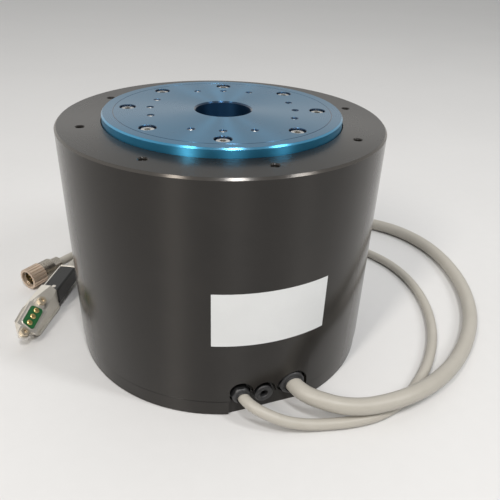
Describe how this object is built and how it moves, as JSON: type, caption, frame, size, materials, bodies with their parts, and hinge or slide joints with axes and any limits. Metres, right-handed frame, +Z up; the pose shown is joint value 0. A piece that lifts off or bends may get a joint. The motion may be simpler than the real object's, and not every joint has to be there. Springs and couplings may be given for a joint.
{
  "type": "direct drive rotary motor",
  "caption": "Round black motor with a turning blue plate on top, a hole through its middle, and two grey cables that end in connectors.",
  "frame": {"origin": "middle of the underside, on the axis of rotation", "axes": "+Z up along the axis of rotation, -Y towards the cable outlet, +X to the right of it"},
  "size_m": [0.3165, 0.2473, 0.138],
  "materials": {
    "black_anodised": "satin black anodised, fine turned grain",
    "blue_anodised": "satin blue anodised, fine turned grain",
    "bearing_steel": "ground and polished",
    "machined_steel": "turned",
    "screw_steel": "bright stainless",
    "lamination_steel": "stacked sheet, varnished",
    "magnet": "nickel plated",
    "copper_winding": "enamelled copper wire",
    "cage_brass": "machined",
    "gold_contact": "gold plated",
    "seal_rubber": "matt",
    "inner_aluminium": "machined",
    "encoder_glass": "polished, fine marks round the rim",
    "board_green": "solder mask",
    "head_black": "moulded",
    "gland_black": "black plated, semi-gloss",
    "cable_grey": "smooth grey sheath",
    "hood_metal": "die-cast, plated",
    "clamp_black": "moulded",
    "shell_steel": "tin plated",
    "insulator_green": "moulded",
    "jackscrew_brass": "plated",
    "plug_nickel": "nickel plated, knurled",
    "plug_copper": "copper coloured plating, knurled",
    "plug_insulator": "moulded"
  },
  "bodies": {
    "stator": {"base_oring": "seal_rubber", "base_plate": "black_anodised", "base_screws": "screw_steel", "bearing_retainer": "inner_aluminium", "board_posts": "cage_brass", "board_screws": "screw_steel", "connection_board": "board_green", "dust_seal": "seal_rubber", "encoder_cable": "cable_grey", "encoder_clamp_nut": "plug_nickel", "encoder_gland_body": "gland_black", "encoder_gland_nut": "gland_black", "encoder_pins": "gold_contact", "encoder_plug_body": "plug_nickel", "encoder_plug_insert": "plug_insulator", "housing": "black_anodised", "lower_outer_ring": "bearing_steel", "port_bushing": "gland_black", "power_cable": "cable_grey", "power_clamp_block": "clamp_black", "power_contacts": "gold_contact", "power_gland_body": "gland_black", "power_gland_nut": "gland_black", "power_hood": "hood_metal", "power_insulator": "insulator_green", "power_shell": "shell_steel", "read_head": "head_black", "read_head_bracket": "inner_aluminium", "read_head_screws": "screw_steel", "retainer_screws": "screw_steel", "stator_coils": "copper_winding", "stator_core": "lamination_steel", "upper_outer_ring": "bearing_steel"},
    "rotor": {"rotor_plate": "blue_anodised", "plate_screws": "screw_steel", "hollow_shaft": "blue_anodised", "rotor_yoke": "machined_steel", "rotor_magnets": "magnet", "upper_inner_ring": "bearing_steel", "lower_inner_ring": "bearing_steel", "lock_nut": "machined_steel", "encoder_collar": "inner_aluminium", "encoder_disc": "encoder_glass", "encoder_clamp_ring": "inner_aluminium", "encoder_clamp_screws": "screw_steel"},
    "upper_ball_set": {"upper_cage": "cage_brass", "upper_balls": "bearing_steel"},
    "lower_ball_set": {"lower_cage": "cage_brass", "lower_balls": "bearing_steel"},
    "front_jackscrew": {"power_jackscrew_front": "jackscrew_brass"},
    "rear_jackscrew": {"power_jackscrew_rear": "jackscrew_brass"},
    "coupling_ring": {"encoder_coupling_ring": "plug_copper"}
  },
  "joints": [
    {"name": "rotor_spin", "type": "hinge", "parent": "stator", "child": "rotor", "pos_m": [0, 0, 0], "axis": [0, 0, 1], "continuous": true},
    {"name": "upper_cage_spin", "type": "hinge", "parent": "stator", "child": "upper_ball_set", "pos_m": [0, 0, 0], "axis": [0, 0, 1], "continuous": true},
    {"name": "lower_cage_spin", "type": "hinge", "parent": "stator", "child": "lower_ball_set", "pos_m": [0, 0, 0], "axis": [0, 0, 1], "continuous": true},
    {"name": "front_jackscrew_turn", "type": "hinge", "parent": "stator", "child": "front_jackscrew", "pos_m": [-0.12101, 0.00503, 0.01061], "axis": [0.5343, -0.4542, 0.7129], "continuous": true},
    {"name": "rear_jackscrew_turn", "type": "hinge", "parent": "stator", "child": "rear_jackscrew", "pos_m": [-0.10999, 0.02677, 0.01619], "axis": [0.5343, -0.4542, 0.7129], "continuous": true},
    {"name": "coupling_ring_turn", "type": "hinge", "parent": "stator", "child": "coupling_ring", "pos_m": [-0.11375, 0.07385, 0.0076], "axis": [-0.7826, -0.6225, 0], "continuous": true}
  ],
  "couplings": [
    {"joint": "upper_cage_spin", "follows": "rotor_spin", "ratio": 0.42903},
    {"joint": "lower_cage_spin", "follows": "rotor_spin", "ratio": 0.43308}
  ]
}
